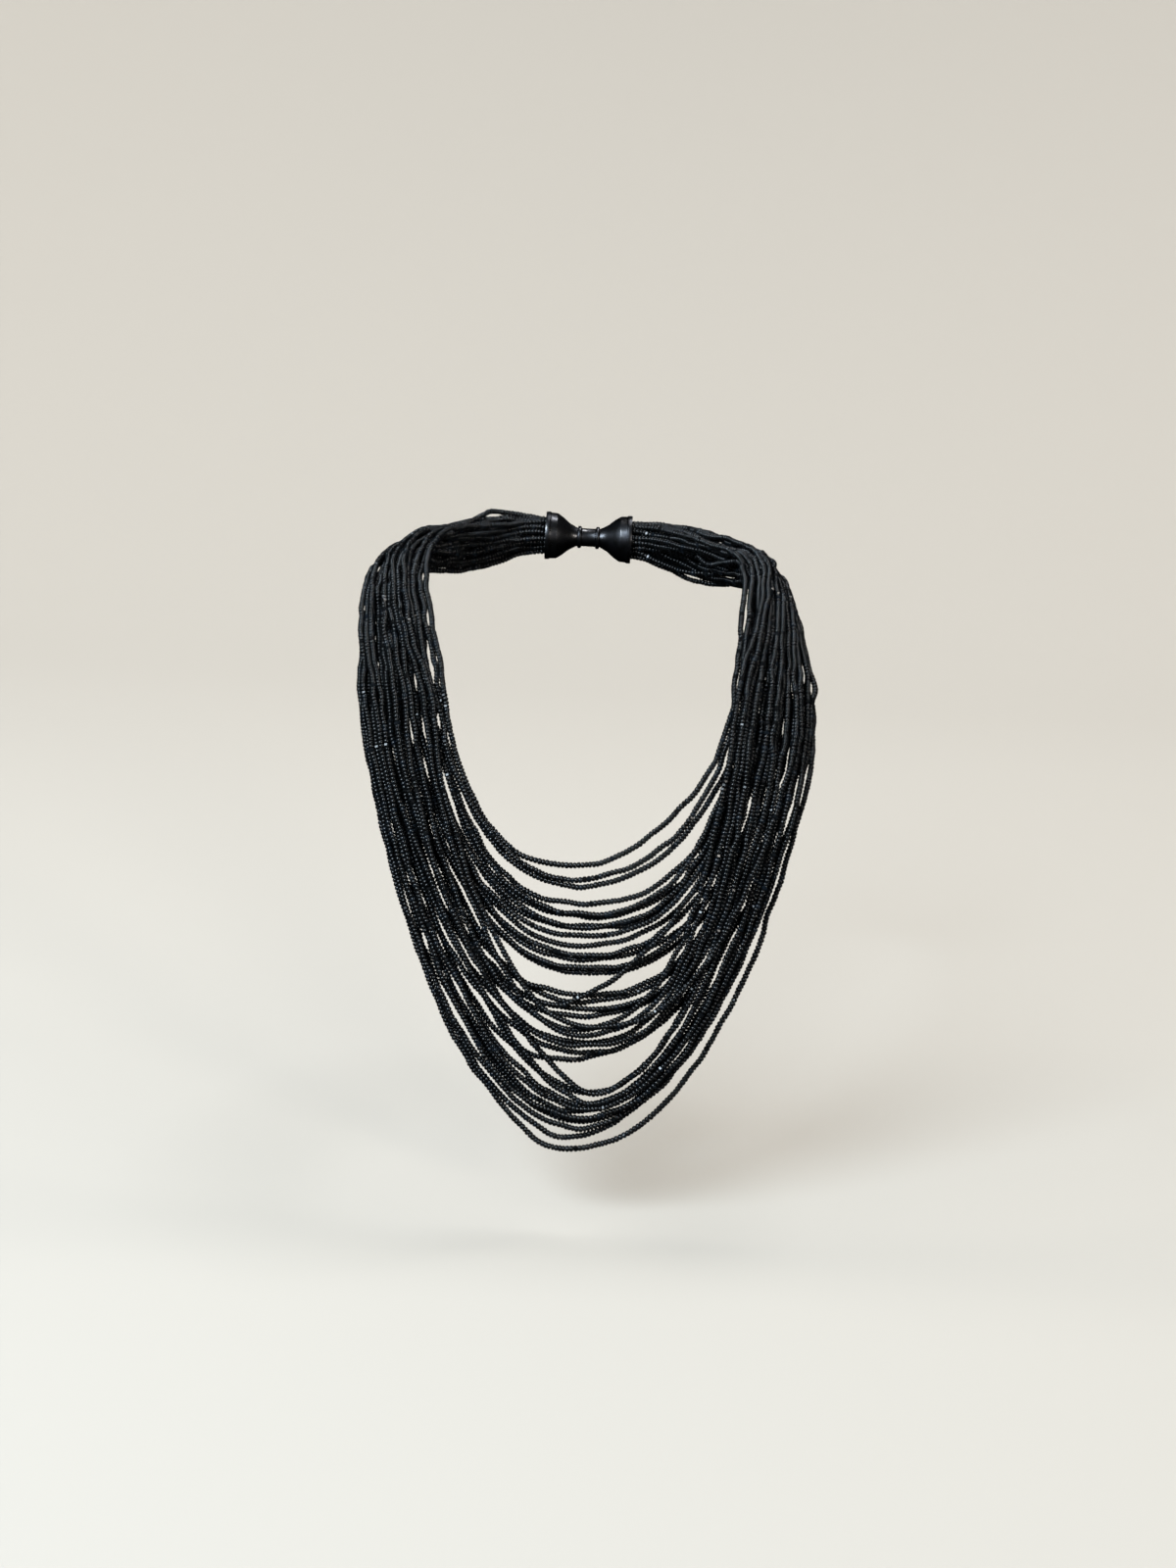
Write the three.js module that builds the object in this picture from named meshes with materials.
// A bib necklace of 37 strings of black seed beads, hanging as it is worn. Millimetres, +Z up, the wearer faces -Y.
// The origin is on the axis of the wearer's neck, level with the clasp at the nape.
import * as THREE from "three";

// ---------- driving dimensions ----------
const BEAD_ACROSS = 2.3; // outside diameter of a seed bead, and so of a string
const STRING_GAP = 0.15; // air left between two strings that lie against each other
const STRING_SIDES = 8;
const PITCH = BEAD_ACROSS + STRING_GAP; // centre to centre of two strings that touch
const STACKING = Math.sin(Math.PI / 3); // height of one layer of strings over the next, in pitches
const LAYER_RISE = PITCH * STACKING;

// The wearer, who isn't part of the necklace: an upright neck that rises from an ellipsoid of shoulders and chest.
const NECK = { halfWidth: 58, halfDepth: 60, y: 2, fillet: 34 };
const CHEST = { centre: new THREE.Vector3(0, 18, -260), half: new THREE.Vector3(250, 135, 262) };

// The clasp at the nape: one plain barrel, widened at each end into a cup that holds the ends of the strings.
// mouth, shoulder and waist are distances from its middle.
const CLASP = { y: 79, mouth: 19, cupDepth: 4, wall: 1, shoulder: 14, waist: 5, waistRadius: 4, sides: 36 };
const CUP_ROWS = [4, 5, 6, 7, 6, 5, 4]; // strings in each row of the bundle in a cup, from the top down
const CUP_PITCH = PITCH + 0.2; // looser than on the shoulder, because the strings fan out of the cup
const CUP_CLEARANCE = 0.4;

// Where the innermost and the outermost string pass between the cup and the collarbone, on either side.
// out is the distance from the middle of the neck.
const SHOULDER_ROUTE = [
  { place: "beside the cup", inner: { out: 32, y: 68, z: 4 }, outer: { out: 32, y: 72, z: -9 } },
  { place: "back of the neck", inner: { out: 52, y: 46, z: 5 }, outer: { out: 59, y: 53, z: -14 } },
  { place: "side of the neck", inner: { out: 62, y: 19, z: 3 }, outer: { out: 77, y: 27, z: -11 } },
  { place: "top of the shoulder", inner: { out: 63, y: -10, z: -8 }, outer: { out: 82, y: -5, z: -19 } },
];
// The same at the collarbone, from where the strings hang down the chest. upright says how upright they hang there.
const COLLARBONE = {
  z: -42,
  left: { inner: 54, outer: 82.5, upright: 1.2 },
  right: { inner: 61, outer: 91.5, upright: 1.4 },
};
const LAST_PLACE = 12; // the outermost place; the innermost is 0, and a loose string may lie a little beyond 12

// One row a string, shortest first. low is the depth of its lowest point under the clasp, and sway how far that point
// lies to +X. left and right are its places across the shoulders on -X and +X, and over counts the layers of strings
// under it. fullLeft and fullRight say how full its curve is on either side: from 1.6, which is slack and pointed, over
// 2, as a chain hangs by itself, to 4, which is caught on its neighbours and square.
const STRINGS = [
  { low: 96, sway: 2, left: 0, right: 0, over: 0, fullLeft: 2.4, fullRight: 1.85 },
  { low: 101, sway: 1, left: 0.6, right: 0.9, over: 1, fullLeft: 2.2, fullRight: 1.95 },
  { low: 103.5, sway: 3, left: 0.2, right: 1.9, over: 0, fullLeft: 2.3, fullRight: 2 },
  { low: 110, sway: 5, left: 1.2, right: 2.8, over: 0, fullLeft: 2.3, fullRight: 2.5 },
  { low: 112, sway: 4, left: 1.9, right: 1.9, over: 1, fullLeft: 2.2, fullRight: 2.5 },
  { low: 114, sway: 5, left: 2.2, right: 3.8, over: 0, fullLeft: 2.3, fullRight: 2.5 },
  { low: 116, sway: 4, left: 2.8, right: 2.9, over: 1, fullLeft: 2.2, fullRight: 2.6 },
  { low: 118, sway: 3, left: 3.1, right: 4.8, over: 0, fullLeft: 2.2, fullRight: 2.5 },
  { low: 120, sway: 5, left: 3.8, right: 3.9, over: 1, fullLeft: 2.2, fullRight: 2.5 },
  { low: 124, sway: 4, left: 4, right: 5.8, over: 0, fullLeft: 2.1, fullRight: 2.5 },
  { low: 127, sway: 5, left: 4.8, right: 4.9, over: 1, fullLeft: 2.1, fullRight: 2.5 },
  { low: 129, sway: 6, left: 4.9, right: 6.8, over: 0, fullLeft: 2.1, fullRight: 2.5 },
  { low: 131, sway: 4, left: 5.3, right: 5.9, over: 1, fullLeft: 2.2, fullRight: 2.5 },
  { low: 133, sway: 5, left: 5.8, right: 7.8, over: 0, fullLeft: 2.1, fullRight: 2.5 },
  { low: 144, sway: -4, left: 6.6, right: 4, over: 2, fullLeft: 2, fullRight: 1.75 },
  { low: 143, sway: 4, left: 6.6, right: 7, over: 1, fullLeft: 2.1, fullRight: 2.5 },
  { low: 145, sway: 5, left: 6.7, right: 8.8, over: 0, fullLeft: 2.1, fullRight: 2.5 },
  { low: 147, sway: 3, left: 7.5, right: 8, over: 1, fullLeft: 2.1, fullRight: 2.6 },
  { low: 149, sway: 4, left: 7.6, right: 9.8, over: 0, fullLeft: 2.1, fullRight: 2.5 },
  { low: 151, sway: 6, left: 1.2, right: 9, over: 3, fullLeft: 1.7, fullRight: 2.5 },
  { low: 153, sway: 4, left: 4.8, right: 0.4, over: 3, fullLeft: 1.85, fullRight: 2.7 },
  { low: 155, sway: 6, left: 2.4, right: 1.2, over: 3, fullLeft: 1.75, fullRight: 2.9 },
  { low: 157.5, sway: 6, left: 8.4, right: 2, over: 2, fullLeft: 2.1, fullRight: 2.9 },
  { low: 159.5, sway: 5, left: 6.1, right: 2.8, over: 3, fullLeft: 1.95, fullRight: 2.8 },
  { low: 161.5, sway: 7, left: 9.2, right: 3.6, over: 2, fullLeft: 2.1, fullRight: 2.8 },
  { low: 166, sway: -5, left: 8.5, right: 10, over: 1, fullLeft: 1.9, fullRight: 2.4 },
  { low: 177, sway: 14, left: 7.2, right: 4.6, over: 3, fullLeft: 1.42, fullRight: 2 },
  { low: 178.8, sway: 11, left: 8.2, right: 5.4, over: 2, fullLeft: 1.65, fullRight: 2 },
  { low: 180.6, sway: 13, left: 9.2, right: 6.3, over: 3, fullLeft: 1.5, fullRight: 2 },
  { low: 182.4, sway: 9, left: 10, right: 7.2, over: 2, fullLeft: 1.78, fullRight: 2 },
  { low: 184.2, sway: 9, left: 10.1, right: 8.1, over: 3, fullLeft: 1.72, fullRight: 2 },
  { low: 186, sway: 7, left: 10.9, right: 9, over: 2, fullLeft: 1.8, fullRight: 2 },
  { low: 187.8, sway: 8, left: 11, right: 9.9, over: 3, fullLeft: 1.76, fullRight: 2 },
  { low: 189.8, sway: 6, left: 10.8, right: 10.8, over: 1, fullLeft: 1.76, fullRight: 2 },
  { low: 191.8, sway: 6, left: 11.7, right: 11.6, over: 2, fullLeft: 1.78, fullRight: 2 },
  { low: 196.5, sway: 2, left: 11.8, right: 11.2, over: 1, fullLeft: 1.7, fullRight: 1.9 },
  { low: 202, sway: 3, left: 12.7, right: 12.8, over: 0, fullLeft: 1.64, fullRight: 2.02 },
];
const SIDES = { left: -1, right: 1 };

// ---------- the wearer's surface ----------
// Signed distance from the wearer's skin, near enough within a few centimetres of it.
function skinGap(p) {
  const neck = (Math.hypot(p.x / NECK.halfWidth, (p.y - NECK.y) / NECK.halfDepth) - 1) * NECK.halfWidth;
  const q = p.clone().sub(CHEST.centre).divide(CHEST.half);
  const chest = (q.length() * (q.length() - 1)) / q.clone().divide(CHEST.half).length();
  const overlap = Math.max(NECK.fillet - Math.abs(neck - chest), 0);
  return Math.min(neck, chest) - (overlap * overlap) / (4 * NECK.fillet);
}

const PROBES = [new THREE.Vector3(0.5, 0, 0), new THREE.Vector3(0, 0.5, 0), new THREE.Vector3(0, 0, 0.5)];

function skinNormal(p) {
  const slopes = PROBES.map((probe) => skinGap(p.clone().add(probe)) - skinGap(p.clone().sub(probe)));
  return new THREE.Vector3(...slopes).normalize();
}

// Moves p along the skin's normal to a height over the skin.
function settle(p, height) {
  for (let pass = 0; pass < 4; pass++) p.addScaledVector(skinNormal(p), height - skinGap(p));
  return p;
}

// The point over the front of the chest at x and z.
function onChest(x, z, height) {
  const p = new THREE.Vector3(x, CHEST.centre.y - CHEST.half.y, z);
  while (skinGap(p) > height + 0.01) p.y += (skinGap(p) - height) * 0.7;
  return p;
}

// ---------- the first course of a string ----------
const heightOver = (string) => BEAD_ACROSS / 2 + string.over * LAYER_RISE;

// Half of a string's way over the chest, from its lowest point up to the collarbone on one side. It is a quarter of
// a superellipse: level at the bottom and almost upright at the top.
const CHEST_STEPS = 16;

function overChest(string, side) {
  const sign = SIDES[side];
  const edge = COLLARBONE[side];
  const full = side === "left" ? string.fullLeft : string.fullRight;
  const half = THREE.MathUtils.lerp(edge.inner, edge.outer, string[side] / LAST_PLACE) - sign * string.sway;
  const drop = COLLARBONE.z + string.low;
  return Array.from({ length: CHEST_STEPS + 1 }, (_, step) => {
    const rise = (step / CHEST_STEPS) ** full;
    const out = half * (1 - (1 - rise) ** edge.upright) ** (1 / full);
    return onChest(string.sway + sign * out, rise * drop - string.low, heightOver(string));
  });
}

// Its way on from the collarbone, over the shoulder and round the neck to the cup.
function overShoulder(string, side) {
  const share = string[side] / LAST_PLACE;
  return SHOULDER_ROUTE.toReversed().map(({ place, inner, outer }) => {
    const p = new THREE.Vector3(
      SIDES[side] * THREE.MathUtils.lerp(inner.out, outer.out, share),
      THREE.MathUtils.lerp(inner.y, outer.y, share),
      THREE.MathUtils.lerp(inner.z, outer.z, share),
    );
    if (place === "beside the cup") return p.addScaledVector(skinNormal(p), string.over * LAYER_RISE);
    return settle(p, heightOver(string));
  });
}

// Where each string enters the cup of one side. The bundle is packed in rows, with the innermost strings on top.
function cupPlaces(side) {
  const order = STRINGS.toSorted((a, b) => a[side] - b[side]);
  const places = new Map();
  CUP_ROWS.forEach((count, row) => {
    const members = order.splice(0, count).sort((a, b) => a.over - b.over);
    members.forEach((string, column) => {
      const y = CLASP.y + (column - (count - 1) / 2) * CUP_PITCH;
      const z = ((CUP_ROWS.length - 1) / 2 - row) * CUP_PITCH * STACKING;
      places.set(string, new THREE.Vector3(SIDES[side] * CLASP.mouth, y, z));
    });
  });
  return places;
}

const CUPS = { left: cupPlaces("left"), right: cupPlaces("right") };
const HELD_STRETCH = { end: CLASP.mouth - CLASP.cupDepth + 0.3, start: CLASP.mouth + 2 };
const HELD_NODES = Object.keys(HELD_STRETCH).length;

function inCup(string, side) {
  const { end, start } = HELD_STRETCH;
  return [end, start].map((out) => CUPS[side].get(string).clone().setX(SIDES[side] * out));
}

function firstCourse(string) {
  const [left, right] = ["left", "right"].map((side) => [
    ...overChest(string, side),
    ...overShoulder(string, side),
    ...inCup(string, side).reverse(),
  ]);
  return new THREE.CatmullRomCurve3([...left.reverse(), ...right.slice(1)], false, "centripetal");
}

// ---------- nodes along a course, closer together where it bends ----------
const NODES = { fine: 600, reach: 6, sagitta: 0.75, closest: 9, farthest: 34 };

function nodesAlong(course, string) {
  const fine = course.getSpacedPoints(NODES.fine);
  const step = course.getLength() / NODES.fine;
  const load = [0];
  for (let i = 1; i <= NODES.fine; i++) {
    const before = fine[Math.max(i - NODES.reach, 0)];
    const after = fine[Math.min(i + NODES.reach, NODES.fine)];
    const turn = fine[i].clone().sub(before).angleTo(after.clone().sub(fine[i])) || 0;
    const radius = (NODES.reach * step) / Math.max(turn, 0.001);
    const spacing = THREE.MathUtils.clamp(Math.sqrt(8 * radius * NODES.sagitta), NODES.closest, NODES.farthest);
    load.push(load[i - 1] + step / spacing);
  }
  const count = Math.round(load.at(-1));
  const between = [];
  for (let k = HELD_NODES; k <= count - HELD_NODES; k++) {
    between.push(fine[load.findIndex((value) => value >= (k * load.at(-1)) / count)].clone());
  }
  return [...inCup(string, "left"), ...between, ...inCup(string, "right").reverse()];
}

const courses = STRINGS.map((string) => nodesAlong(firstCourse(string), string));

// ---------- making room: strings that touch push each other aside ----------
const PASSES = { all: 1000, easing: 750, onSkin: 960, newPairs: 20 };
const EASE = 0.12; // share of the way that a node eases towards its neighbours' line in one pass
const PRESS = 0.02; // how far a string sinks towards the skin in one pass
const HOMING = 0.1; // pull towards the first course, as a share of the easing
const CELL = 40; // size of the cells that sort the stretches

const free = (nodes, k) => k >= HELD_NODES && k < nodes.length - HELD_NODES;

// Every two stretches, of two strings, that are near enough to touch.
function nearPairs() {
  const cells = new Map();
  const pairs = [];
  courses.forEach((nodes, string) => {
    const own = nodes.slice(1).map((node, k) => {
      const middle = node.clone().lerp(nodes[k], 0.5);
      const ends = [nodes[k], node];
      return { string, ends, free: [free(nodes, k), free(nodes, k + 1)], middle, half: middle.distanceTo(node) };
    });
    for (const stretch of own) {
      const [x, y, z] = stretch.middle.clone().divideScalar(CELL).floor();
      for (const key of neighbours(x, y, z)) {
        for (const other of cells.get(key) ?? []) {
          const reach = stretch.half + other.half + 2 * PITCH;
          if (stretch.middle.distanceTo(other.middle) < reach) pairs.push([stretch, other]);
        }
      }
    }
    for (const stretch of own) {
      const key = stretch.middle.clone().divideScalar(CELL).floor().toArray().join();
      cells.set(key, [...(cells.get(key) ?? []), stretch]);
    }
  });
  return pairs;
}

function neighbours(x, y, z) {
  const near = [-1, 0, 1];
  return near.flatMap((dx) => near.flatMap((dy) => near.map((dz) => [x + dx, y + dy, z + dz].join())));
}

// How far along each of two stretches they are closest.
function closest([a, b], [c, d]) {
  const ab = b.clone().sub(a);
  const cd = d.clone().sub(c);
  const ca = a.clone().sub(c);
  const [abab, abcd, cdcd, abca, cdca] = [ab.dot(ab), ab.dot(cd), cd.dot(cd), ab.dot(ca), cd.dot(ca)];
  const spread = abab * cdcd - abcd * abcd;
  const first = spread > 1e-9 ? THREE.MathUtils.clamp((abcd * cdca - cdcd * abca) / spread, 0, 1) : 0.5;
  const t = THREE.MathUtils.clamp((abcd * first + cdca) / cdcd, 0, 1);
  return [THREE.MathUtils.clamp((abcd * t - abca) / abab, 0, 1), t];
}

function pushApart([one, two]) {
  const [s, t] = closest(one.ends, two.ends);
  const apart = two.ends[0].clone().lerp(two.ends[1], t).sub(one.ends[0].clone().lerp(one.ends[1], s));
  const distance = apart.length();
  if (distance >= PITCH) return;
  const shares = [s - 1, -s, 1 - t, t].map((share, k) => ([...one.free, ...two.free][k] ? share : 0));
  const yielding = shares.reduce((sum, share) => sum + share * share, 0);
  if (yielding === 0) return;
  apart.multiplyScalar(((PITCH - distance) / Math.max(distance, 0.001)) * Math.min(1 / yielding, 2));
  [...one.ends, ...two.ends].forEach((node, k) => node.addScaledVector(apart, shares[k]));
}

// Where a node lies between its neighbours, as a share of the way from the one to the other.
function between(nodes, k) {
  const [before, after] = [nodes[k].distanceTo(nodes[k - 1]), nodes[k].distanceTo(nodes[k + 1])];
  return nodes[k - 1].clone().lerp(nodes[k + 1], before / (before + after));
}

const home = courses.map((nodes) => nodes.map((node) => node.clone()));
const bends = courses.map((nodes) => nodes.map((node, k) => free(nodes, k) && node.clone().sub(between(nodes, k))));

function eachFreeNode(action) {
  courses.forEach((nodes, string) => nodes.forEach((node, k) => free(nodes, k) && action(node, string, k)));
}

function easeNode(amount) {
  return (node, string, k) => {
    node.lerp(between(courses[string], k).add(bends[string][k]), EASE * amount);
    node.lerp(home[string][k], EASE * amount * HOMING);
    const gap = skinGap(node) - BEAD_ACROSS / 2;
    node.addScaledVector(skinNormal(node), -THREE.MathUtils.clamp(gap, 0, PRESS * amount));
  };
}

function keepOffSkin(node) {
  const gap = skinGap(node) - BEAD_ACROSS / 2;
  if (gap < 0) node.addScaledVector(skinNormal(node), -gap);
}

for (let pass = 0, pairs; pass < PASSES.all; pass++) {
  if (pass % PASSES.newPairs === 0) pairs = nearPairs();
  if (pass < PASSES.easing) eachFreeNode(easeNode(1 - pass / PASSES.easing));
  pairs.forEach(pushApart);
  if (pass < PASSES.onSkin) eachFreeNode(keepOffSkin);
}

// ---------- solids ----------
// A curve straight from node to node, which an extrusion with a step for each node follows exactly.
class Route extends THREE.Curve {
  constructor(nodes) {
    super();
    this.nodes = nodes;
  }

  getPoint(t, target = new THREE.Vector3()) {
    const at = THREE.MathUtils.clamp(t, 0, 1) * (this.nodes.length - 1);
    const k = Math.min(Math.floor(at), this.nodes.length - 2);
    return target.copy(this.nodes[k]).lerp(this.nodes[k + 1], at - k);
  }

  getUtoTmapping(u) {
    return u;
  }
}

function stringSection() {
  const corners = Array.from({ length: STRING_SIDES }, (_, corner) => {
    const angle = (corner * 2 * Math.PI) / STRING_SIDES;
    return new THREE.Vector2(Math.cos(angle), Math.sin(angle)).multiplyScalar(BEAD_ACROSS / 2);
  });
  return new THREE.Shape(corners);
}

function stringSolid(nodes) {
  const extrudePath = new Route(nodes);
  return new THREE.ExtrudeGeometry(stringSection(), { steps: nodes.length - 1, extrudePath });
}

function claspSolid() {
  const bore = ((CUP_ROWS.length - 1) / 2) * CUP_PITCH + BEAD_ACROSS / 2 + CUP_CLEARANCE;
  const floor = CLASP.mouth - CLASP.cupDepth;
  const right = [
    { r: CLASP.waistRadius, x: CLASP.waist },
    { r: bore + CLASP.wall, x: CLASP.shoulder },
    { r: bore + CLASP.wall, x: CLASP.mouth },
    { r: bore, x: CLASP.mouth },
    { r: bore, x: floor },
    { r: 0, x: floor },
  ];
  const left = right.toReversed().map(({ r, x }) => ({ r, x: -x }));
  const profile = [...left, ...right].map(({ r, x }) => new THREE.Vector2(r, x));
  return new THREE.LatheGeometry(profile, CLASP.sides).rotateZ(-Math.PI / 2).translate(0, CLASP.y, 0);
}

// ---------- the necklace ----------
const glass = new THREE.MeshStandardMaterial({ color: 0x0b0c0e, roughness: 0.28, metalness: 0 });
const darkMetal = new THREE.MeshStandardMaterial({ color: 0x4a4b4e, roughness: 0.35, metalness: 1 });
const necklace = new THREE.Group();

courses.forEach((nodes, index) => {
  const string = new THREE.Mesh(stringSolid(nodes), glass);
  string.name = `string_${String(index + 1).padStart(2, "0")}`;
  necklace.add(string);
});

const clasp = new THREE.Mesh(claspSolid(), darkMetal);
clasp.name = "clasp";
necklace.add(clasp);

export default necklace;
